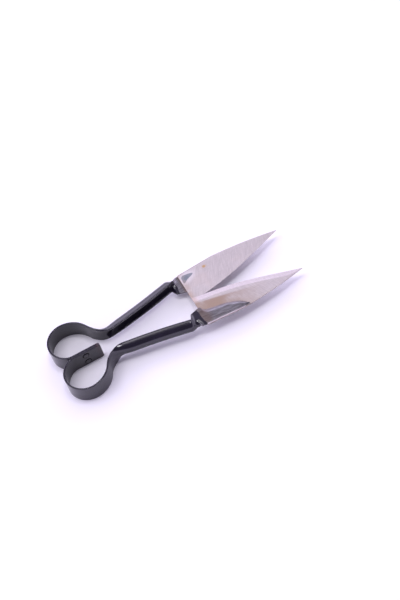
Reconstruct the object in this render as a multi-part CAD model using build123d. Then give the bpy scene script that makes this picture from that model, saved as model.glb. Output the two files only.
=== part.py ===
from build123d import *
from math import cos, pi, sin
import os

# Double-bow spring hand shears, lying flat, in millimetres.
#
# Two halves of formed spring strip. Each strip stands on edge in a straight tongue, runs
# back round a loop (the spring bow), comes in to a neck, is cupped into a hollow grip and
# flattens into a horizontal tang plate that carries the blade. The two tongues are riveted
# back to back. A left piece is a right piece turned half way about the long middle axis at
# mid height. The arms sit a little above that axis on both sides, so a left arm is built
# with its lift reversed before it is turned.
#
# Frame: +X from the bows to the tips, +Y to the left, +Z up, origin on the surface that the
# bows stand on, below the middle of the bounding box. X is counted from the back of the
# bows while a piece is made, and is shifted when the piece is written.

# ---- driving dimensions ----
LENGTH = 330.0              # back of the bows to the tips
STRIP_WIDTH = 26.5          # spring strip, standing on edge
STRIP = 2.5                 # its thickness
MID_Z = STRIP_WIDTH / 2

# tongue and bow: the middle line of the right strip seen from above, as (radius, turn)
TONGUE_FRONT = 60.0
TONGUE_LENGTH = 36.8
TONGUE_CORNER = 3.0
BOW_ARCS = [(19.0, 34.5), (25.8, 149.0), (33.0, 57.5)]
BOW_END_RUN = 3.7           # straight run before the neck
NECK_ARC = (27.0, -69.3)
GRIP_ARC = (860.0, -5.5)

# grip: the strip cupped into a half ellipse, hollow side inward
CUP_DEPTH = 11.0
CUP_INSET = 5.0             # the grip's edges lie this far inside the middle line
CUP_HALF_HEIGHT = 7.5
CUP_UPPER = (3.0, 31.0)     # start and run of the cupping along the strip from the bow's end
CUP_LOWER = (12.0, 34.0)
CUP_LIFT = 2.0              # middle of the grip above mid height

# tang plate, lying on the outer face of the blade
BLADE_GAP = 0.2             # between the flat faces of the two blades
BLADE_LIFT = 1.0            # that gap above mid height
BLADE = 2.5
FLATTEN = {-1: (171.5, 187.0), 0: (168.5, 186.0), 1: (173.5, 178.2)}    # start, end at each edge
SHOULDER = (176.5, 21.5)
PLATE_HEEL = 189.5
PLATE_Y = (18.3, 45.4)      # inner, outer edge there
PLATE_CORNER = (192.0, 18.6)
PLATE_STEP = (197.0, 23.4)  # the inner edge steps out where it crosses the blade's heel
PLATE_CURVE = [(222.0, 28.6), (239.0, 35.5)]
PLATE_TIP = (249.0, 45.8)
PLATE_SPINE = [(238.0, 48.0), (215.0, 46.9)]

# blade: cutting edge inward, spine outward, as (X, distance out) along each
BLADE_HEEL = 190.0
EDGE = [(BLADE_HEEL, -2.6), (205.0, -0.2), (222.0, 2.6), (241.0, 6.4), (256.0, 10.2), (270.0, 14.4),
        (284.0, 19.0), (297.0, 23.4), (309.0, 27.6), (320.0, 31.3), (LENGTH, 34.8)]
SPINE_HEEL_Y, SPINE_TIP_Y = 44.4, 35.8
WIDEST = (241.0, 47.4)      # where the spine is furthest out
SPINE_STRAIGHTNESS = 0.38   # 1 would run straight from there to the tip
TIP_THICK, EDGE_THICK = 0.8, 0.35
TAPER_POWER = 3             # the thickness keeps up until near the tip
BEVEL_WIDTH = 8.0
BEVEL_SHARE = 0.7           # the most of the blade's width that the bevel takes

# rivets and weld plugs
RIVET_X = 38.5
RIVET_DROP = 6.5            # above and below mid height
RIVET_RADIUS = 2.5
RIVET_HEAD_RADIUS, RIVET_HEAD = 3.7, 0.8
WELDS = [(198.5, 34.5), (225.5, 38.0)]
WELD_RADIUS = 3.6
FIT = 0.05                  # clearance round a shank or a plug

UP = Vector(0, 0, 1)
RIGHT, LEFT = 1, -1         # which way up an arm is built
LEVELS = [i / 4 - 1 for i in range(9)]                  # across the strip, -1 lower edge, 1 upper edge
NECK_SECTIONS, GRIP_SECTIONS = 10, 8
TANG_SECTIONS = (168.0, 171.0, 174.0, 176.0, 179.0, 182.0, 185.0, 187.2, PLATE_HEEL)


def smooth(t):
    t = min(max(t, 0.0), 1.0)
    return t * t * (3 - 2 * t)


def between(share, low, high):
    return low + share * (high - low)


def blade_z(arm):
    """Height of the blade's flat face, while the arm is built right way up."""
    return MID_Z + arm * BLADE_LIFT + BLADE_GAP / 2


def bow_side(inward):
    """The strip's plan from the tongue to the bow's end, offset inward from its middle."""
    tongue = Line((TONGUE_FRONT, -STRIP / 2 - inward), (TONGUE_FRONT - TONGUE_LENGTH, -STRIP / 2 - inward))
    edges = [tongue]
    for radius, turn in BOW_ARCS:
        edges.append(JernArc(edges[-1] @ 1, edges[-1] % 1, radius - inward, turn))
    edges.append(Line(edges[-1] @ 1, edges[-1] @ 1 + edges[-1] % 1 * BOW_END_RUN))
    return edges


def rivet_bar(radius, length, height):
    """A round bar across the two tongues, centred where they meet."""
    return Pos(RIVET_X, 0, height) * Rot(90, 0, 0) * Cylinder(radius, length)


def make_bow():
    """Tongue and spring loop, up to where the neck begins."""
    inner, outer = bow_side(STRIP / 2), bow_side(-STRIP / 2)
    caps = [Line(inner[0] @ 0, outer[0] @ 0), Line(inner[-1] @ 1, outer[-1] @ 1)]
    bow = extrude(make_face([*inner, *outer, *caps]), STRIP_WIDTH, dir=UP)
    bow = fillet(bow.edges().filter_by(Axis.Y).group_by(Axis.X)[-1], TONGUE_CORNER)
    through_both = 4 * STRIP
    for height in (MID_Z - RIVET_DROP, MID_Z + RIVET_DROP):
        bow -= rivet_bar(RIVET_RADIUS + FIT, through_both, height)
    return bow


def make_bow_rivet(height):
    """Shank through both tongues with a low chamfered head on each side."""
    rivet = rivet_bar(RIVET_RADIUS, 2 * STRIP, height)
    for side, outer_edge in ((-1, 0), (1, -1)):
        head = Pos(0, side * (STRIP + RIVET_HEAD / 2), 0) * rivet_bar(RIVET_HEAD_RADIUS, RIVET_HEAD, height)
        rivet += chamfer(head.edges().filter_by(GeomType.CIRCLE).group_by(Axis.Y)[outer_edge], RIVET_HEAD / 2)
    return rivet


def cup(travelled, u, arm):
    """Middle of the strip's thickness, (outward, up), at level u so far along from the bow's end."""
    lower, upper = (smooth((travelled - start) / run) for start, run in (CUP_LOWER, CUP_UPPER))
    bend = between((1 + arm * u) / 2, lower, upper)
    flat_up = STRIP_WIDTH / 2 * u
    cupped_up = CUP_HALF_HEIGHT * sin(u * pi / 2) + arm * CUP_LIFT
    return bend * (CUP_DEPTH * cos(u * pi / 2) - CUP_INSET), MID_Z + between(bend, flat_up, cupped_up)


def flattening(x, u):
    """How far the cup has opened into the plate at x, from 0 to 1."""
    start, end = (between(abs(u), middle, edge) for middle, edge in zip(FLATTEN[0], FLATTEN[1 if u > 0 else -1]))
    return smooth((x - start) / (end - start))


def strip_section(origin, outward, middle):
    """Face of strip thickness round a middle line of (outward, up) points."""
    sides = []
    for side in (-STRIP / 2, STRIP / 2):
        points = []
        for i, (out, up) in enumerate(middle):
            before, after = middle[max(i - 1, 0)], middle[min(i + 1, len(middle) - 1)]
            run = Vector(after[0] - before[0], after[1] - before[1]).normalized()
            points.append(origin + outward * (out + side * run.Y) + UP * (up - side * run.X))
        sides.append(Spline(*points))
    caps = [Line(sides[0] @ end, sides[1] @ end) for end in (0, 1)]
    return make_face([*sides, *caps])


def neck_and_grip():
    start = bow_side(0)[-1]
    neck = JernArc(start @ 1, start % 1, *NECK_ARC)
    return neck, JernArc(neck @ 1, neck % 1, *GRIP_ARC)


def grip_sections(arm):
    """Sections across the strip, from the bow's end along the neck and the grip."""
    neck, grip = neck_and_grip()
    stations = [(neck, i / NECK_SECTIONS, 0) for i in range(NECK_SECTIONS)]
    stations += [(grip, i / GRIP_SECTIONS, neck.length) for i in range(GRIP_SECTIONS)]
    for path, t, behind in stations:
        travelled = behind + path.length * t
        outward = (path % t).cross(UP).normalized()
        yield strip_section(path @ t, outward, [cup(travelled, u, arm) for u in LEVELS])


def tang_sections(arm):
    """Sections square to X, where the cup opens out into the flat plate."""
    neck, grip = neck_and_grip()
    end, along = grip @ 1, grip % 1
    plate_up = blade_z(arm) + BLADE + STRIP / 2
    for x in TANG_SECTIONS:
        path_out = -(end.Y + along.Y / along.X * (x - end.X))
        past_shoulder = max(0, x - SHOULDER[0]) / (PLATE_HEEL - SHOULDER[0])
        inner = between(past_shoulder, SHOULDER[1], PLATE_Y[0])
        middle = []
        for u in LEVELS:
            out, up = cup(neck.length + grip.length, u, arm)
            share = flattening(x, u)
            plate_out = between((1 - u) / 2, inner, PLATE_Y[1])
            middle.append((between(share, path_out + out, plate_out), between(share, up, plate_up)))
        yield strip_section(Vector(x, 0, 0), Vector(0, -1, 0), middle)


def make_plate(arm):
    """The flat end of the strip, which lies along the spine on the blade's outer face."""
    heel_inner, heel_outer = ((PLATE_HEEL, -out) for out in PLATE_Y)
    corner, step, tip = ((x, -out) for x, out in (PLATE_CORNER, PLATE_STEP, PLATE_TIP))
    outline = [
        Line(heel_inner, corner),
        Line(corner, step),
        Spline(step, *[(x, -out) for x, out in PLATE_CURVE], tip),
        Spline(tip, *[(x, -out) for x, out in PLATE_SPINE], heel_outer),
        Line(heel_outer, heel_inner),
    ]
    return Pos(0, 0, blade_z(arm) + BLADE) * extrude(make_face(outline), STRIP, dir=UP)


def make_handle(arm):
    """Neck, cupped grip and tang plate: the rest of the strip, one piece."""
    return loft([*grip_sections(arm), *tang_sections(arm)]) + make_plate(arm)


def spine_y(x):
    if x < WIDEST[0]:
        return between((x - BLADE_HEEL) / (WIDEST[0] - BLADE_HEEL), SPINE_HEEL_Y, WIDEST[1])
    t = (x - WIDEST[0]) / (LENGTH - WIDEST[0])
    return between(SPINE_STRAIGHTNESS * t + (1 - SPINE_STRAIGHTNESS) * t * t, WIDEST[1], SPINE_TIP_Y)


def make_blade(arm):
    """Flat inner face down, bevelled along the cutting edge on the outer face."""
    bottom, sections = blade_z(arm), []
    for x, edge in EDGE:
        spine = spine_y(x)
        thick = between(((x - BLADE_HEEL) / (LENGTH - BLADE_HEEL)) ** TAPER_POWER, BLADE, TIP_THICK)
        bevel_end = edge + min(BEVEL_WIDTH, BEVEL_SHARE * (spine - edge))
        corners = [(edge, 0), (edge, EDGE_THICK), (bevel_end, thick), (spine, thick), (spine, 0)]
        sections.append(make_face(Polyline(*[(x, -out, bottom + up) for out, up in corners], close=True)))
    blade = loft(sections, ruled=True)
    for plug in make_welds(arm, FIT):
        blade -= plug
    return blade


def make_welds(arm, clearance=0.0):
    """Round plugs of weld metal through the blade, ground flush with its flat face."""
    middle = blade_z(arm) + BLADE / 2
    return [Pos(x, -out, middle) * Cylinder(WELD_RADIUS + clearance, BLADE) for x, out in WELDS]


def other_half(shape):
    """The same piece on the left: half a turn about the long middle axis."""
    return shape.rotate(Axis((0, 0, MID_Z), (1, 0, 0)), 180)


def write(shape, name):
    export_step(Pos(-LENGTH / 2, 0, 0) * shape, f"parts/{name}.step")


def write_half(side, arm):
    pieces = {
        "bow": make_bow(),
        "handle": make_handle(arm),
        "blade": make_blade(arm),
        "blade_welds": Compound(children=make_welds(arm)),
    }
    for name, piece in pieces.items():
        write(piece if arm == RIGHT else other_half(piece), f"{side}_{name}")


os.makedirs("parts", exist_ok=True)
write_half("right", RIGHT)
write_half("left", LEFT)
write(make_bow_rivet(MID_Z - RIVET_DROP), "lower_bow_rivet")
write(make_bow_rivet(MID_Z + RIVET_DROP), "upper_bow_rivet")

hinge = bow_side(0)[2].arc_center
print(f"arm turns about X {hinge.X - LENGTH / 2:.3f}, Y {hinge.Y:.3f}")
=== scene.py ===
import math

import bmesh
import bpy
from mathutils import Matrix, Vector


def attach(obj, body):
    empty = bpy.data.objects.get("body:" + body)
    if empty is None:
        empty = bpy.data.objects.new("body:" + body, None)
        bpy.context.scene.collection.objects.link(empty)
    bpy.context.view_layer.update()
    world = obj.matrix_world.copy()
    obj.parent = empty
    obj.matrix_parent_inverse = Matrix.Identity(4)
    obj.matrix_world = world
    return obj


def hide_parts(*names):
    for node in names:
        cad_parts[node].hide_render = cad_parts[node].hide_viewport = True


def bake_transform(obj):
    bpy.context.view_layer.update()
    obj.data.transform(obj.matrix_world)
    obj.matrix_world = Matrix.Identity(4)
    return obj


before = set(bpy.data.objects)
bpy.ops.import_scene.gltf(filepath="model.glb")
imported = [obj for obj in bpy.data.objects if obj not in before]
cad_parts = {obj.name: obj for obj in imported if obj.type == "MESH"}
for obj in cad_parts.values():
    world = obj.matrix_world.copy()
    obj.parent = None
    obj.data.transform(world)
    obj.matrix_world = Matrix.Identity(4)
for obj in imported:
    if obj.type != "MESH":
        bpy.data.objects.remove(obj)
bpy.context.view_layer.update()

# ---- sizes, in millimetres, X counted from the back of the bows as in the CAD source ----
MM = 0.001
LENGTH = 330.0
STRIP_WIDTH, STRIP = 26.5, 2.5
MID_Z = STRIP_WIDTH / 2
STRIP_ROUND = 0.7           # rolled edges of the strip
SIDE_REACH, SIDE_POINTS = 0.93, 19      # the strip's sides between its rolled edges, in u
TONGUE_FRONT, TONGUE_LENGTH, TONGUE_CORNER = 60.0, 36.8, 3.2
BOW_ARCS = [(19.0, 34.5), (25.8, 149.0), (33.0, 57.5)]
BOW_END_RUN = 3.7
NECK_ARC, GRIP_ARC = (27.0, -69.3), (860.0, -5.5)
CUP_DEPTH, CUP_INSET, CUP_HALF_HEIGHT = 11.0, 5.0, 7.5
ARM_LIFT, CUP_LIFT = 1.0, 2.0       # blades and grips sit above mid height by this much
CUP_HIGH, CUP_LOW = (3.0, 31.0), (12.0, 34.0)    # start and run of the cupping, upper and lower edge
ARM_START = 40.0
SQUARE_START, SQUARE_END = 150.0, 167.0     # the sections turn square to X along here
FLATTEN = {-1: (171.5, 187.0), 0: (168.5, 186.0), 1: (173.5, 178.2)}
THIN_START, THIN_RUN = 191.0, 8.0       # the plate's inner edge is hammered thin along here
THIN_WIDTH, THIN_PART, THIN_LOSS = 6.5, 0.7, 0.72
BLADE_GAP, BLADE = 0.2, 2.5
BLADE_Z = MID_Z + BLADE_GAP / 2
PLATE_Z = BLADE_Z + BLADE
PLATE_END = 249.0
BLADE_HEEL = 190.0
WIDEST = (241.0, 47.4)
SPINE_HEEL_Y, EDGE_TIP_Y, SPINE_TIP_Y = 44.4, 34.8, 35.8
SPINE_CURVE = 0.62          # how much of the spine's fall to the tip is curved
EDGE = [(190.0, -2.6), (205.0, -0.2), (222.0, 2.6), (241.0, 6.4), (256.0, 10.2), (270.0, 14.4),
        (284.0, 19.0), (297.0, 23.4), (309.0, 27.6), (320.0, 31.3), (LENGTH, EDGE_TIP_Y)]
TIP_THICK = 0.8
BEVEL_WIDTH, NOSE_WIDTH = 8.0, 1.7
EDGE_FLAT, NOSE_RISE, HOLLOW = 0.08, 0.36, 0.05     # the cutting edge, in shares of the thickness
SPINE_ROUND = 0.5
RIVET_X, RIVET_DROP, RIVET_HEAD_RADIUS, RIVET_HEAD = 38.5, 6.5, 3.7, 0.8
WELDS = [(198.5, 34.5), (225.5, 38.0)]
WELD_RADIUS, WELD_HOLLOW = 3.6, 0.05

# the flat plate's two edges, outward distance against X
PLATE_INNER = [(176.5, 21.5), (181.0, 20.2), (186.0, 18.9), (190.5, 17.8), (192.6, 18.4), (194.4, 21.4),
               (197.5, 23.4), (209.5, 26.1), (222.6, 28.7), (234.7, 33.1), (241.4, 37.0), (246.0, 41.6),
               (248.4, 44.8), (249.0, 46.0)]
PLATE_OUTER = [(176.0, 42.0), (186.0, 45.2), (200.0, 45.7), (220.0, 47.2), (238.0, 48.0), (242.2, 47.9),
               (243.2, 47.0), (246.5, 46.8), (249.0, 46.4)]

# ---- the camera ----
CAMERA_AZIMUTH, CAMERA_ELEVATION, CAMERA_ROLL = -11.57, 55.43, -18.35
CAMERA_DISTANCE = 2.0456
CAMERA_TARGET = Vector((0.0352, 0.0044, 0.0))
CAMERA_LENS = 96.4

# ---- the light: brightness against height, from 0 at the horizon to 1 overhead ----
ROOM_LEVELS = [(0.0, 1.25), (0.36, 1.25), (0.5, 0.2), (1.0, 0.14)]
COVE_LEVELS = [(0.0, 1.0), (0.2, 1.2), (0.34, 2.3), (0.58, 2.3), (0.72, 0.55), (1.0, 0.32)]
ROOM_TO_COVE = (-0.3, 0.4)
AMBIENT_TINT = (0.93, 0.86, 1.12)
WORLD_STRENGTH = 1.12
# name, azimuth, elevation, distance, size, power
SOFTBOXES = [("key", 243, 68, 2.4, 1.5, 20), ("top", 108, 80, 2.6, 0.5, 12)]
SOFTBOX_TINT = (1, 0.975, 1.05)
FLOOR_SIZE, FLOOR_TINT = 6.0, (0.94, 0.925, 0.97)


def smooth(t):
    t = min(max(t, 0.0), 1.0)
    return t * t * (3 - 2 * t)


def along(points, x):
    """Smooth value at x through (x, value) points."""
    if x <= points[0][0]:
        return points[0][1]
    for i in range(len(points) - 1):
        (x0, y0), (x1, y1) = points[i], points[i + 1]
        if x <= x1:
            (xa, ya), (xb, yb) = points[max(i - 1, 0)], points[min(i + 2, len(points) - 1)]
            t, run = (x - x0) / (x1 - x0), x1 - x0
            rise_0, rise_1 = (y1 - ya) / (x1 - xa) * run, (yb - y0) / (xb - x0) * run
            return ((2 * t**3 - 3 * t**2 + 1) * y0 + (t**3 - 2 * t**2 + t) * rise_0
                    + (3 * t**2 - 2 * t**3) * y1 + (t**3 - t**2) * rise_1)
    return points[-1][1]


def toward(azimuth, elevation):
    """Direction from the object to a camera or light at an azimuth and elevation, in degrees."""
    a, e = math.radians(azimuth), math.radians(elevation)
    return Vector((math.sin(a) * math.cos(e), -math.cos(a) * math.cos(e), math.sin(e)))


# ---------------------------------------------------------------- meshes

def place(point, left):
    """A point of the right half, in millimetres, put in the row frame for either half."""
    x, y, z = point
    if left:
        y, z = -y, 2 * MID_Z - z
    return Vector((x - LENGTH / 2, y, z)) * MM


def make_piece(name, points, faces, left, material, slot, sharp):
    """A mesh piece that remembers each point's place in the right half, for its material."""
    mesh = bpy.data.meshes.new(name)
    mesh.from_pydata([place(p, left) for p in points], [], faces)
    shape = mesh.attributes.new("shape", "FLOAT_VECTOR", "POINT")
    for spot, point in zip(shape.data, points):
        spot.vector = (point[0], -point[1], point[2])
    work = bmesh.new()
    work.from_mesh(mesh)
    bmesh.ops.recalc_face_normals(work, faces=work.faces)
    work.to_mesh(mesh)
    work.free()
    mesh.shade_smooth()
    mesh.set_sharp_from_angle(angle=math.radians(sharp))
    mesh.materials.append(material)
    piece = bpy.data.objects.new(name, mesh)
    bpy.context.scene.collection.objects.link(piece)
    return piece


def bands(first, rows, count):
    """Four-sided faces between rows of points, each a closed ring, numbered on from the first point."""
    faces = []
    for row in range(rows - 1):
        a, b = first + row * count, first + (row + 1) * count
        faces += [(a + i, a + (i + 1) % count, b + (i + 1) % count, b + i) for i in range(count)]
    return faces


def skin(rings):
    """Points and faces of a closed body through rings of equal length."""
    count = len(rings[0])
    points = [p for ring in rings for p in ring]
    faces = bands(0, len(rings), count)
    faces.append(tuple(range(count)))
    faces.append(tuple(range(len(points) - count, len(points))))
    return points, faces


def circle(radius, count):
    """Points round a circle."""
    turns = [2 * math.pi * i / count for i in range(count)]
    return [(radius * math.cos(a), radius * math.sin(a)) for a in turns]


# ---------------------------------------------------------------- the strip

class Station:
    """A place along the strip's middle line, seen from above."""

    def __init__(self, x, y, heading, travelled=0.0, inset=0.0, upper=1):
        self.x, self.y, self.heading, self.travelled = x, y, heading, travelled
        self.upper = upper      # which end of u is the upper edge as the tool lies
        self.inset = inset      # distance in from the tongue's front end, while under the corner size
        square = smooth((x - SQUARE_START) / (SQUARE_END - SQUARE_START)) if travelled > ARM_START else 0.0
        outward = Vector((math.sin(heading), -math.cos(heading))) * (1 - square) + Vector((0, -1)) * square
        self.outward = outward.normalized()
        self.bends = [smooth((travelled - start) / run) for start, run in (CUP_LOW, CUP_HIGH)]

    def middle(self, u):
        """Middle of the strip's thickness, (outward, up), at u from -1, bottom, to 1, top."""
        reach = STRIP_WIDTH / 2 - self.corner_loss()
        flat_up, cupped_up = reach * u, CUP_HALF_HEIGHT * math.sin(u * math.pi / 2)
        bend = self.bends[0] + (self.bends[1] - self.bends[0]) * (1 + u * self.upper) / 2
        out = bend * (CUP_DEPTH * math.cos(u * math.pi / 2) - CUP_INSET)
        up = MID_Z + flat_up + bend * (cupped_up + CUP_LIFT * self.upper - flat_up)
        share = self.flattened(u)
        if share > 0:
            inner, outer = along(PLATE_INNER, self.x), along(PLATE_OUTER, self.x)
            plate_out = inner + (outer - inner) * (1 - u) / 2 + self.y
            out += (plate_out - out) * share
            up += (PLATE_Z + ARM_LIFT * self.upper + self.half(u) - up) * share
        return Vector((out, up))

    def corner_loss(self):
        """How far the tongue's rounded corner cuts into half the strip's width."""
        short = max(TONGUE_CORNER - self.inset, 0.0)
        return TONGUE_CORNER - math.sqrt(TONGUE_CORNER**2 - short**2)

    def flattened(self, u):
        """How far the cupped section has turned into the flat plate at u, from 0 to 1."""
        if self.travelled < ARM_START:
            return 0.0
        (start, end), (start_0, end_0) = FLATTEN[1 if u > 0 else -1], FLATTEN[0]
        start, end = start_0 + (start - start_0) * abs(u), end_0 + (end - end_0) * abs(u)
        return smooth((self.x - start) / (end - start))

    def half(self, u):
        """Half the strip's thickness, less at the tongue's end and the plate's inner edge."""
        short = max(STRIP_ROUND - self.inset, 0.0)
        half = STRIP / 2 - STRIP_ROUND + math.sqrt(STRIP_ROUND**2 - short**2)
        if self.travelled < ARM_START:
            return half
        width = along(PLATE_OUTER, self.x) - along(PLATE_INNER, self.x)
        from_inner = (1 - u) / 2 * width
        thin_width = min(THIN_WIDTH, max(width, 0.1) * THIN_PART)
        thin = smooth((self.x - THIN_START) / THIN_RUN) * (1 - smooth(from_inner / thin_width))
        return half * (1 - THIN_LOSS * thin)

    def normal(self, u, small=0.004):
        """The section's normal, to the outer side, and its direction of run, up, at u."""
        run = self.middle(min(u + small, 1)) - self.middle(max(u - small, -1))
        run.normalize()
        return Vector((run.y, -run.x)), run

    def ring(self):
        """The section's outline as points, up the outer side and down the inner side."""
        top, bottom = self.rolled_edge(1), self.rolled_edge(-1)
        levels = [-SIDE_REACH + 2 * SIDE_REACH * i / (SIDE_POINTS - 1) for i in range(SIDE_POINTS)]
        outer = [self.middle(u) + self.normal(u)[0] * self.half(u) for u in levels]
        inner = [self.middle(u) - self.normal(u)[0] * self.half(u) for u in levels]
        outline = outer + top + inner[::-1] + bottom
        return [(self.x + self.outward.x * p.x, self.y + self.outward.y * p.x, p.y) for p in outline]

    def rolled_edge(self, end):
        """Points round the strip's upper edge, for 1, or lower edge, for -1."""
        normal, run = self.normal(end)
        out_of_end, half = run * end, self.half(end)
        radius = min(STRIP_ROUND, half * 0.98)
        base = self.middle(end) - out_of_end * radius
        points = []
        for side in (end, -end):
            quarter = [i * math.pi / 8 for i in range(5)]
            for angle in quarter if side == end else quarter[::-1]:
                across = normal * side * (half - radius + radius * math.cos(angle))
                points.append(base + across + out_of_end * radius * math.sin(angle))
        return points


def walk(station, length, turn, spacing):
    """Stations along a straight run or an arc that follows on from a station."""
    count = max(1, math.ceil(length / spacing))
    step, turn_step = length / count, math.radians(turn) / count
    for _ in range(count):
        middle = station.heading + turn_step / 2
        chord = step if abs(turn_step) < 1e-9 else 2 * step / turn_step * math.sin(turn_step / 2)
        travelled = station.travelled + step if station.travelled else 0.0
        station = Station(station.x + chord * math.cos(middle), station.y + chord * math.sin(middle),
                          station.heading + turn_step, travelled, station.inset, station.upper)
        yield station


def arc_length(radius, turn):
    return radius * math.radians(abs(turn))


def tongue_and_bow():
    """Stations from the tongue's front end, back and round the bow."""
    stations = []
    for inset in (0.0, 0.06, 0.16, 0.3, 0.48, STRIP_ROUND, 1.0, 1.4, 2.0, 2.6, TONGUE_CORNER):
        stations.append(Station(TONGUE_FRONT - inset, -STRIP / 2, math.pi, inset=inset))
    stations += walk(stations[-1], TONGUE_LENGTH - TONGUE_CORNER, 0.0, 3.0)
    for radius, turn in BOW_ARCS:
        stations += walk(stations[-1], arc_length(radius, turn), turn, 1.3)
    return stations + list(walk(stations[-1], BOW_END_RUN, 0.0, 2.0))


def neck_grip_and_plate(last, upper):
    """Stations on from the bow's last one, closer together at the plate's heel and end."""
    start = Station(last.x, last.y, last.heading, 1e-6, TONGUE_CORNER, upper)
    stations = list(walk(start, arc_length(*NECK_ARC), NECK_ARC[1], 1.0))
    stations += walk(stations[-1], arc_length(*GRIP_ARC), GRIP_ARC[1], 2.0)
    heading = stations[-1].heading
    while stations[-1].x < PLATE_END - 0.02:
        x = stations[-1].x
        spacing = min(0.5 if 188 < x < 200 or x > 238 else 1.2, PLATE_END - x)
        stations += walk(stations[-1], spacing / math.cos(heading), 0.0, 10.0)
    return stations


def make_strip(name, left, material):
    stations = tongue_and_bow()
    stations += neck_grip_and_plate(stations[-1], -1 if left else 1)
    return make_piece(name, *skin([s.ring() for s in stations]), left, material, "painted_strip", 40)


# ---------------------------------------------------------------- blades

def spine_y(x):
    if x < WIDEST[0]:
        t = (x - BLADE_HEEL) / (WIDEST[0] - BLADE_HEEL)
        return SPINE_HEEL_Y + (WIDEST[1] - SPINE_HEEL_Y) * t
    t = (x - WIDEST[0]) / (LENGTH - WIDEST[0])
    return WIDEST[1] - (WIDEST[1] - SPINE_TIP_Y) * ((1 - SPINE_CURVE) * t + SPINE_CURVE * t * t)


def blade_ring(x, lift, inset=0.0):
    """Section of the blade: flat face down, steep nose and hollow bevel along the cutting edge."""
    t = (x - BLADE_HEEL) / (LENGTH - BLADE_HEEL)
    edge, spine = along(EDGE, x) + inset, spine_y(x) - inset
    width = spine - edge
    bottom, top = BLADE_Z + lift + inset, BLADE_Z + lift + BLADE + (TIP_THICK - BLADE) * t**3 - inset
    bevel_end = min(edge + BEVEL_WIDTH, spine - 0.3 * width)
    nose = min(NOSE_WIDTH, 0.25 * width)
    thick = top - bottom
    outline = [(edge, bottom), (edge, bottom + EDGE_FLAT * thick),
               (edge + nose, bottom + NOSE_RISE * thick)]
    for i in range(1, 7):
        s = i / 7
        rise = NOSE_RISE + (1 - NOSE_RISE) * s - HOLLOW * 4 * s * (1 - s)
        outline.append((edge + nose + (bevel_end - edge - nose) * s, bottom + thick * rise))
    outline.append((bevel_end, top))
    for i in range(1, 12):
        outline.append((bevel_end + (spine - SPINE_ROUND - bevel_end) * i / 12, top))
    radius = min(SPINE_ROUND, 0.4 * thick, 0.3 * width)
    for end_z, angles in ((top - radius, (90, 67, 45, 22, 0)), (bottom + radius, (0, -22, -45, -67, -90))):
        for angle in angles:
            a = math.radians(angle)
            outline.append((spine - radius + radius * math.cos(a), end_z + radius * math.sin(a)))
    for i in range(1, 14):
        outline.append((spine - radius - (spine - radius - edge) * i / 14, bottom))
    return [(x, -y, z) for y, z in outline]


def make_shear_blade(name, left, material):
    lift = -ARM_LIFT if left else ARM_LIFT
    rings = [blade_ring(BLADE_HEEL + on, lift, inset) for on, inset in ((0, 0.25), (0.08, 0.1), (0.25, 0))]
    x = BLADE_HEEL + 2.0
    while x < LENGTH - 1.0:
        rings.append(blade_ring(x, lift))
        x += 2.0 if x < 310 else 1.0
    rings.append(blade_ring(LENGTH - 0.35, lift))
    rings.append(blade_ring(LENGTH, lift, 0.12))
    return make_piece(name, *skin(rings), left, material, "blade_steel", 14)


def make_weld_spots(name, left, material):
    """Plug welds ground back nearly flush with the blade's flat face."""
    face = BLADE_Z - ARM_LIFT if left else BLADE_Z + ARM_LIFT
    count, points, faces = 40, [], []
    for x, y in WELDS:
        centre = len(points)
        points.append((x, -y, face - WELD_HOLLOW))
        for share, drop in ((0.7, WELD_HOLLOW), (0.94, 0.9 * WELD_HOLLOW), (1.0, -3 * WELD_HOLLOW)):
            for along_x, along_y in circle(WELD_RADIUS * share, count):
                uneven = 1 + 0.03 * math.sin(3 * math.atan2(along_y, along_x) + x)
                points.append((x + along_x * uneven, -y + along_y * uneven, face - drop))
        faces += [(centre, centre + 1 + i, centre + 1 + (i + 1) % count) for i in range(count)]
        faces += bands(centre + 1, 3, count)
        faces.append(tuple(centre + 1 + 2 * count + i for i in range(count)))
    return make_piece(name, points, faces, left, material, "weld_steel", 30)


def make_rivet(name, height, material):
    """Two low domes on the outer faces of the tongues, joined by the shank between them."""
    dome = [(0.0, RIVET_HEAD)]
    for degrees in range(15, 90, 15):
        a = math.radians(degrees)
        dome.append((RIVET_HEAD_RADIUS * math.sin(a) ** 0.8, RIVET_HEAD * math.cos(a) ** 0.7))
    dome.append((RIVET_HEAD_RADIUS, 0.0))
    side = [(r, STRIP + h) for r, h in dome] + [(RIVET_HEAD_RADIUS, STRIP - 0.2)]
    profile = side + [(r, -h) for r, h in side[::-1]]
    count, points = 36, []
    for radius, y in profile[1:-1]:
        points += [(RIVET_X + along_x, y, height + along_z) for along_x, along_z in circle(radius, count)]
    rows = len(profile) - 2
    faces = bands(0, rows, count)
    points += [(RIVET_X, profile[0][1], height), (RIVET_X, profile[-1][1], height)]
    last_row = (rows - 1) * count
    for i in range(count):
        j = (i + 1) % count
        faces.append((len(points) - 2, i, j))
        faces.append((len(points) - 1, last_row + j, last_row + i))
    return make_piece(name, points, faces, False, material, "painted_strip", 50)


# ---------------------------------------------------------------- materials

PAST_TIP = 9.0              # how fast a teardrop's mask falls away beyond its tip
TONGUE_FACE = (4.2, 3.2)    # outward distance past which the rust and the painted shade rings are off the tongue's face
PAINT_END_INNER, PAINT_END_OUTER = 182.0, 184.0
STRAW_SPOT = (225.6, 38.0)

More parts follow.
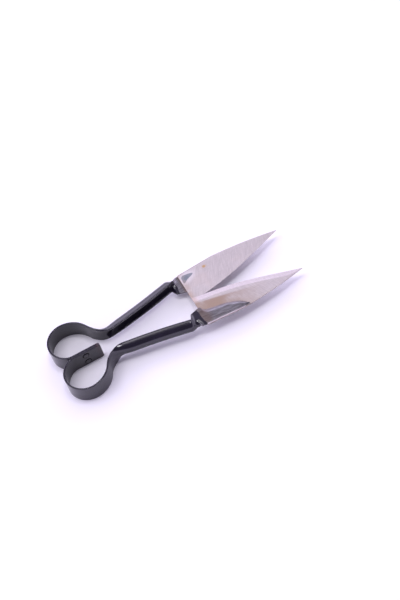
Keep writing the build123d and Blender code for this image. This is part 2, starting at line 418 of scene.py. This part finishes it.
ENAMEL_INDEX = 1.62
ENAMEL_DEEP, ENAMEL_THIN = (0.008, 0.006, 0.014), (0.013, 0.010, 0.022)
# the second colour is near-black painted shade round the rivet heads
RUST, RIVET_RING_SHADE = (0.075, 0.022, 0.018), (0.003, 0.003, 0.003)
BRUSHED_DARK, BRUSHED_LIGHT = (0.12, 0.113, 0.118), (0.27, 0.26, 0.275)
# the second colour is a painted highlight along the tang plate's spine-side edge
BRUSHED_BROWN, PLATE_EDGE_HIGHLIGHT = (0.17, 0.115, 0.085), (0.62, 0.56, 0.60)
GROUND_DARK, GROUND_LIGHT = (0.42, 0.382, 0.375), (0.57, 0.525, 0.515)
CROSS_LINES, WARM_CLOUD = (0.33, 0.295, 0.28), (0.55, 0.46, 0.42)
PALE_HALO, BLUED = (0.72, 0.68, 0.70), (0.21, 0.23, 0.255)
STRAW, SPINE_BROWN, HEEL_STRAW = (0.52, 0.34, 0.13), (0.17, 0.125, 0.10), (0.42, 0.30, 0.22)
OXIDE = (0.31, 0.225, 0.17)
WELD_DARK, WELD_LIGHT, WELD_STRAW = (0.46, 0.42, 0.415), (0.58, 0.535, 0.525), (0.50, 0.31, 0.12)


class Shader:
    """A principled material with short ways to write its masks."""

    def __init__(self, name, seed):
        self.material = bpy.data.materials.new(name)
        self.material.use_nodes = True
        self.tree = self.material.node_tree
        self.surface = next(n for n in self.tree.nodes if n.type == "BSDF_PRINCIPLED")
        attribute = self.node("ShaderNodeAttribute")
        attribute.attribute_name = "shape"
        self.shape = attribute.outputs["Vector"]
        split = self.node("ShaderNodeSeparateXYZ", Vector=self.shape)
        self.x, self.out, self.up = (split.outputs[k] for k in "XYZ")
        self.seed = seed

    def node(self, kind, **inputs):
        node = self.tree.nodes.new(kind)
        for name, value in inputs.items():
            self.feed(node.inputs[name], value)
        return node

    def feed(self, socket, value):
        if isinstance(value, bpy.types.NodeSocket):
            self.tree.links.new(value, socket)
        else:
            socket.default_value = value

    def math(self, operation, *values):
        node = self.node("ShaderNodeMath")
        node.operation = operation
        for socket, value in zip(node.inputs, values):
            self.feed(socket, value)
        return node.outputs[0]

    def ramp(self, value, start, end, low=0.0, high=1.0):
        """Smooth step of a value, low up to start and high from end on."""
        node = self.node("ShaderNodeMapRange", Value=value)
        node.interpolation_type = "SMOOTHSTEP"
        if start > end:
            start, end, low, high = end, start, high, low
        for name, number in (("From Min", start), ("From Max", end), ("To Min", low), ("To Max", high)):
            node.inputs[name].default_value = number
        return node.outputs[0]

    def noise(self, scale, detail=2.0, stretch=(1, 1, 1), turn=0.0, rough=0.5):
        """Noise in 0 to 1; stretch lengthens it along each axis, turn turns it in plan, in degrees."""
        mapping = self.node("ShaderNodeMapping", Vector=self.shape)
        mapping.vector_type = "TEXTURE"
        mapping.inputs["Scale"].default_value = stretch
        mapping.inputs["Rotation"].default_value = (0, 0, math.radians(turn))
        node = self.node("ShaderNodeTexNoise", Vector=mapping.outputs[0])
        node.noise_dimensions = "4D"
        for name, number in (("W", self.seed), ("Scale", scale), ("Detail", detail), ("Roughness", rough)):
            node.inputs[name].default_value = number
        return node.outputs["Fac"]

    def all_of(self, *masks):
        """Product of masks."""
        product = masks[0]
        for mask in masks[1:]:
            product = self.math("MULTIPLY", product, mask)
        return product

    def weighted(self, a, a_weight, b, b_weight):
        return self.math("ADD", self.math("MULTIPLY", a, a_weight), self.math("MULTIPLY", b, b_weight))

    def hypotenuse(self, a, b):
        squared = self.math("ADD", self.math("MULTIPLY", a, a), self.math("MULTIPLY", b, b))
        return self.math("SQRT", squared)

    def mix(self, share, a, b):
        """Colour between a and b."""
        node = self.node("ShaderNodeMix")
        node.data_type = "RGBA"
        self.feed(node.inputs[0], share)
        for socket, colour in ((node.inputs[6], a), (node.inputs[7], b)):
            self.feed(socket, (*colour, 1) if isinstance(colour, tuple) else colour)
        return node.outputs[2]

    def mix_value(self, share, a, b):
        """Number between a and b."""
        node = self.node("ShaderNodeMix")
        for socket, value in zip(node.inputs[:1] + node.inputs[2:4], (share, a, b)):
            self.feed(socket, value)
        return node.outputs[0]

    def blob(self, x, out, radius_x, radius_y, turn=0.0, soft=0.3):
        """1 inside an ellipse on the face, fading to 0 over its soft rim."""
        c, s = math.cos(math.radians(turn)), math.sin(math.radians(turn))
        dx, dy = self.math("SUBTRACT", self.x, x), self.math("SUBTRACT", self.out, out)
        a = self.weighted(dx, c / radius_x, dy, s / radius_x)
        b = self.weighted(dx, -s / radius_y, dy, c / radius_y)
        return self.ramp(self.hypotenuse(a, b), 1 + soft, 1 - soft)

    def drop(self, x, out, tip_x, tip_out, radius):
        """1 inside a teardrop whose round end is centred at (x, out) and which narrows to its tip."""
        run_x, run_out = tip_x - x, tip_out - out
        length = math.hypot(run_x, run_out)
        dx, dy = self.math("SUBTRACT", self.x, x), self.math("SUBTRACT", self.out, out)
        on = self.weighted(dx, run_x / length, dy, run_out / length)
        off = self.weighted(dx, -run_out / length, dy, run_x / length)
        left_to_go = self.math("SUBTRACT", 1.0, self.math("DIVIDE", self.math("MAXIMUM", on, 0.0), length))
        narrowing = self.math("POWER", self.math("MAXIMUM", left_to_go, 0.0), 0.55)
        half = self.math("MULTIPLY", narrowing, radius)
        behind = self.math("MINIMUM", on, 0.0)
        ahead = self.math("MAXIMUM", self.math("SUBTRACT", on, length), 0.0)
        squared = self.math("ADD", self.math("MULTIPLY", off, off), self.math("MULTIPLY", behind, behind))
        squared = self.math("ADD", squared, self.math("MULTIPLY", ahead, PAST_TIP))
        return self.ramp(self.math("SUBTRACT", self.math("SQRT", squared), half), 0.35, -0.35)

    def blued_drop(self):
        """The blued teardrop round the weld by the heel, leaning to the cutting edge at its round end."""
        pointed = self.drop(196.6, 36.2, 208.8, 37.0, 4.3)
        leaning = self.drop(196.4, 35.4, 192.6, 28.6, 3.9)
        return self.math("MAXIMUM", pointed, leaning)

    def ring(self, x, up, radius, half_width):
        """1 on a circle on the tongue's face, fading to 0 over its half width; it draws the painted shade
        rings round the rivet heads.
        """
        dx, dz = self.math("SUBTRACT", self.x, x), self.math("SUBTRACT", self.up, up)
        off = self.math("ABSOLUTE", self.math("SUBTRACT", self.hypotenuse(dx, dz), radius))
        return self.ramp(off, half_width, half_width * 0.4)

    def edge_highlight_band(self, width):
        """1 along the plate's outer, spine-side edge, which runs nearly straight; it carries a painted
        highlight.
        """
        spine = self.math("ADD", self.math("MULTIPLY", self.x, 0.05), 36.0)
        inside = self.math("SUBTRACT", spine, self.out)
        return self.ramp(inside, width, width * 0.3)

    def bump(self, height, distance, strength=1.0, under=None):
        node = self.node("ShaderNodeBump", Height=height)
        node.inputs["Distance"].default_value = distance * MM
        node.inputs["Strength"].default_value = strength
        if under is not None:
            self.tree.links.new(under, node.inputs["Normal"])
        return node.outputs[0]

    def ground(self):
        """Grain of the coarse grinding that runs across the blades."""
        return self.noise(1.0, 4.0, (0.4, 11.0, 1.0), -24.0, 0.65)

    def finish(self, colour, roughness, metallic, normal):
        looks = {"Base Color": colour, "Roughness": roughness, "Metallic": metallic, "Normal": normal}
        for name, value in looks.items():
            self.feed(self.surface.inputs[name], value)
        return self.material


def enamel(name, seed, lift):
    """Glossy black enamel, dipped on; it stops where the strip flattens into the bare tang plate."""
    s = Shader(name, seed)
    on_tongue = s.ramp(s.out, *TONGUE_FACE)
    # the paint ends sooner on the face that lies on the blade, and follows the shoulder on the outer one
    outer_face = s.ramp(s.up, PLATE_Z + lift + 1.0, PLATE_Z + lift + 1.6)
    wavy = s.math("MULTIPLY", s.math("SUBTRACT", s.noise(0.14, 3.0), 0.5), 5.0)
    leaning = s.math("ADD", s.x, s.math("MULTIPLY", s.out, -0.12))
    line = s.math("ADD", s.mix_value(outer_face, s.x, leaning), wavy)
    start = s.mix_value(outer_face, PAINT_END_INNER, PAINT_END_OUTER)
    bare = s.ramp(s.math("SUBTRACT", line, start), -0.4, 0.5)

    paint = s.mix(s.ramp(s.noise(0.06, 3.0), 0.35, 0.7), ENAMEL_DEEP, ENAMEL_THIN)
    rust = s.all_of(s.ramp(s.x, 51.0, 59.0), s.ramp(s.noise(0.2, 3.0), 0.35, 0.65), on_tongue, 0.6)
    paint = s.mix(rust, paint, RUST)
    # near-black rings painted round the rivet heads on the tongue: painted shade at the heads' rims, with
    # a rougher metallic finish
    rivet_shade_rings = s.math("MAXIMUM", *[s.ring(RIVET_X, MID_Z + side * RIVET_DROP, RIVET_HEAD_RADIUS + 0.3, 0.7)
                                for side in (-1, 1)])
    rivet_shade_rings = s.all_of(rivet_shade_rings, on_tongue)

    brushed = s.noise(0.8, 4.0, (9.0, 0.9, 1.0), 8.0, 0.6)
    steel = s.mix(s.ramp(brushed, 0.3, 0.7), BRUSHED_DARK, BRUSHED_LIGHT)
    by_heel = s.ramp(s.x, 186.4, 188.6, 0.0, 0.7)
    patches = s.all_of(s.ramp(s.x, 214.0, 190.0), s.ramp(s.noise(0.09, 3.0), 0.35, 0.6))
    brown = s.mix_value(outer_face, by_heel, patches)
    steel = s.mix(s.all_of(brown, 0.6), steel, BRUSHED_BROWN)
    # a pale band painted along the tang plate's spine-side edge: a painted highlight
    steel = s.mix(s.all_of(s.edge_highlight_band(1.3), 0.85), steel, PLATE_EDGE_HIGHLIGHT)

    colour = s.mix(rivet_shade_rings, s.mix(bare, paint, steel), RIVET_RING_SHADE)
    roughness = s.math("ADD", s.ramp(bare, 0, 1, 0.09, 0.30), s.math("MULTIPLY", s.noise(0.35, 3.0), 0.07))
    roughness = s.math("ADD", roughness, s.math("MULTIPLY", rivet_shade_rings, 0.6))
    peel = s.bump(s.noise(0.45, 2.0), 0.06, 0.25)
    grain = s.bump(s.all_of(brushed, bare), 0.04, 0.5, peel)
    s.surface.inputs["IOR"].default_value = ENAMEL_INDEX
    return s.finish(colour, roughness, s.math("MAXIMUM", bare, rivet_shade_rings), grain)


def blade_steel(name, seed, lift):
    """Ground blade steel, heat tinted round the welds and along the plate."""
    s = Shader(name, seed)
    grind = s.ground()
    cross = s.noise(1.0, 3.0, (13.0, 0.45, 1.0), -6.0, 0.6)
    cloudy = s.noise(0.045, 4.0)
    colour = s.mix(s.ramp(grind, 0.3, 0.7), GROUND_DARK, GROUND_LIGHT)
    colour = s.mix(s.all_of(s.ramp(cross, 0.52, 0.68), 0.3), colour, CROSS_LINES)
    colour = s.mix(s.all_of(s.ramp(cloudy, 0.55, 0.75), 0.25), colour, WARM_CLOUD)

    # the flat face: a blued teardrop round the heel weld in a pale halo, and a straw spot at the other
    flat = s.ramp(s.up, BLADE_Z + lift + 0.06, BLADE_Z + lift + 0.03)
    on_flat = s.all_of(flat, 0.9)
    halo = s.blob(199.5, 35.6, 12.5, 8.0, 18.0, 0.4)
    colour = s.mix(s.all_of(halo, on_flat, 0.5), colour, PALE_HALO)
    colour = s.mix(s.all_of(s.blued_drop(), on_flat), colour, BLUED)
    straw = s.blob(*STRAW_SPOT, 3.3, 2.9, 0.0, 0.45)
    colour = s.mix(s.all_of(straw, on_flat, 0.95), colour, STRAW)

    # a thin brown line along the spine, and straw tint at the heel
    off_spine = s.math("SUBTRACT", s.math("ADD", s.math("MULTIPLY", s.x, 0.0588), 33.2), s.out)
    spine_line = s.all_of(s.ramp(off_spine, 1.3, 0.5), s.ramp(s.x, 246.0, 232.0))
    colour = s.mix(s.all_of(spine_line, on_flat, 0.8), colour, SPINE_BROWN)
    heel_tint = s.all_of(s.ramp(s.x, 200.0, 190.5), s.ramp(s.noise(0.12, 3.0), 0.3, 0.6))
    colour = s.mix(s.all_of(heel_tint, 0.55), colour, HEEL_STRAW)

    # the outer face: brown oxide beside the plate, fading to bright metal on the bevel
    outer = s.math("SUBTRACT", 1.0, flat)
    past_bevel = s.ramp(s.math("SUBTRACT", s.out, s.math("MULTIPLY", s.x, 0.235)), -38.6, -35.0)
    warm = s.all_of(outer, past_bevel, s.ramp(s.x, 285.0, 215.0), s.ramp(cloudy, 0.2, 0.6), 0.9)
    colour = s.mix(warm, colour, OXIDE)

    roughness = s.math("ADD", s.ramp(grind, 0.2, 0.8, 0.38, 0.48), s.math("MULTIPLY", cloudy, 0.06))
    lines = s.bump(cross, 0.02, 0.3, s.bump(grind, 0.03, 0.6))
    return s.finish(colour, roughness, 1.0, lines)


def weld_metal(name, seed):
    """Weld metal ground with the blade, blued at the heel plug and straw on the other."""
    s = Shader(name, seed)
    grind = s.ground()
    colour = s.mix(s.blued_drop(), s.mix(grind, WELD_DARK, WELD_LIGHT), BLUED)
    straw = s.blob(STRAW_SPOT[0], STRAW_SPOT[1] + 0.2, 2.3, 2.1, 0.0, 0.55)
    colour = s.mix(s.all_of(straw, 0.85), colour, WELD_STRAW)
    return s.finish(colour, s.ramp(grind, 0.2, 0.8, 0.36, 0.46), 1.0, s.bump(grind, 0.03, 0.6))


# ---------------------------------------------------------------- the object

RIGHT_ENAMEL = enamel("enamel_right", 1.0, ARM_LIFT)
LEFT_ENAMEL = enamel("enamel_left", 5.0, -ARM_LIFT)
RIGHT_STEEL = blade_steel("steel_right", 2.0, ARM_LIFT)
LEFT_STEEL = blade_steel("steel_left", 8.0, -ARM_LIFT)
WELD = weld_metal("weld_metal", 3.0)
HALVES = [("right", False, RIGHT_ENAMEL, RIGHT_STEEL), ("left", True, LEFT_ENAMEL, LEFT_STEEL)]

for side, left, paint, steel in HALVES:
    arm = f"{side}_arm"
    strip = make_strip(f"{side}_spring_strip", left, paint)
    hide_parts(f"{side}_bow", f"{side}_handle")
    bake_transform(strip)
    blade = make_shear_blade(f"{side}_shear_blade", left, steel)
    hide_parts(f"{side}_blade")
    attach(blade, arm)
    spots = make_weld_spots(f"{side}_weld_spots", left, WELD)
    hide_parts(f"{side}_blade_welds")
    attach(spots, arm)

for where, height in (("lower", MID_Z - RIVET_DROP), ("upper", MID_Z + RIVET_DROP)):
    rivet = make_rivet(f"{where}_rivet", height, RIGHT_ENAMEL)
    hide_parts(f"{where}_bow_rivet")
    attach(rivet, "bow")


# ---------------------------------------------------------------- floor, light, camera

def make_floor():
    """A plain matt floor."""
    material = bpy.data.materials.new("floor")
    material.use_nodes = True
    surface = next(n for n in material.node_tree.nodes if n.type == "BSDF_PRINCIPLED")
    surface.inputs["Base Color"].default_value = (*FLOOR_TINT, 1)
    surface.inputs["Roughness"].default_value = 0.6
    surface.inputs["Specular IOR Level"].default_value = 0.1
    mesh = bpy.data.meshes.new("floor")
    corners = [(x * FLOOR_SIZE, y * FLOOR_SIZE, 0) for x, y in ((-1, -1), (1, -1), (1, 1), (-1, 1))]
    mesh.from_pydata(corners, [], [(0, 1, 2, 3)])
    mesh.materials.append(material)
    floor = bpy.data.objects.new("floor", mesh)
    bpy.context.scene.collection.objects.link(floor)


def add_softbox(name, azimuth, elevation, distance, size, power):
    """A square soft light looking at the object from the azimuth and elevation given."""
    light = bpy.data.lights.new(name, "AREA")
    light.shape, light.size, light.energy, light.color = "SQUARE", size, power, SOFTBOX_TINT
    back = toward(azimuth, elevation)
    box = bpy.data.objects.new(name, light)
    box.location = back * distance
    box.rotation_mode = "QUATERNION"
    box.rotation_quaternion = back.to_track_quat("Z", "Y")
    bpy.context.scene.collection.objects.link(box)


def make_world():
    """A white cove behind the object and a darker room on the camera's side, both down to the table."""
    world = bpy.data.worlds.new("studio")
    bpy.context.scene.world = world
    world.use_nodes = True
    tree = world.node_tree
    coordinates = tree.nodes.new("ShaderNodeTexCoord")
    split = tree.nodes.new("ShaderNodeSeparateXYZ")
    tree.links.new(coordinates.outputs["Generated"], split.inputs[0])
    back_side = tree.nodes.new("ShaderNodeMapRange")
    back_side.interpolation_type = "SMOOTHSTEP"
    back_side.inputs["From Min"].default_value, back_side.inputs["From Max"].default_value = ROOM_TO_COVE
    tree.links.new(split.outputs["Y"], back_side.inputs["Value"])
    blend = tree.nodes.new("ShaderNodeMix")
    blend.data_type = "RGBA"
    tree.links.new(back_side.outputs[0], blend.inputs[0])
    for levels, socket in ((ROOM_LEVELS, blend.inputs[6]), (COVE_LEVELS, blend.inputs[7])):
        ramp = tree.nodes.new("ShaderNodeValToRGB")
        tree.links.new(split.outputs["Z"], ramp.inputs["Fac"])
        stops = ramp.color_ramp.elements
        while len(stops) < len(levels):
            stops.new(0.5)
        for stop, (height, level) in zip(stops, levels):
            stop.position, stop.color = height, (*[level * c for c in AMBIENT_TINT], 1)
        tree.links.new(ramp.outputs["Color"], socket)
    background = next(n for n in tree.nodes if n.type == "BACKGROUND")
    tree.links.new(blend.outputs[2], background.inputs["Color"])
    background.inputs["Strength"].default_value = WORLD_STRENGTH


def make_camera():
    """The camera, rolled about its own axis."""
    camera = bpy.data.objects.new("camera", bpy.data.cameras.new("camera"))
    bpy.context.scene.collection.objects.link(camera)
    bpy.context.scene.camera = camera
    azimuth, roll = math.radians(CAMERA_AZIMUTH), math.radians(CAMERA_ROLL)
    back = toward(CAMERA_AZIMUTH, CAMERA_ELEVATION)
    level = Vector((math.cos(azimuth), math.sin(azimuth), 0))
    steep = back.cross(level)
    right = level * math.cos(roll) + steep * math.sin(roll)
    up = steep * math.cos(roll) - level * math.sin(roll)
    turn = Matrix((right, up, back)).transposed().to_4x4()
    camera.matrix_world = Matrix.Translation(CAMERA_TARGET + back * CAMERA_DISTANCE) @ turn
    camera.data.lens = CAMERA_LENS
    camera.data.sensor_width = 36.0
    camera.data.clip_start, camera.data.clip_end = 0.05, 50.0


make_floor()
make_world()
for softbox in SOFTBOXES:
    add_softbox(*softbox)
make_camera()
bpy.context.scene.view_settings.view_transform = "Standard"
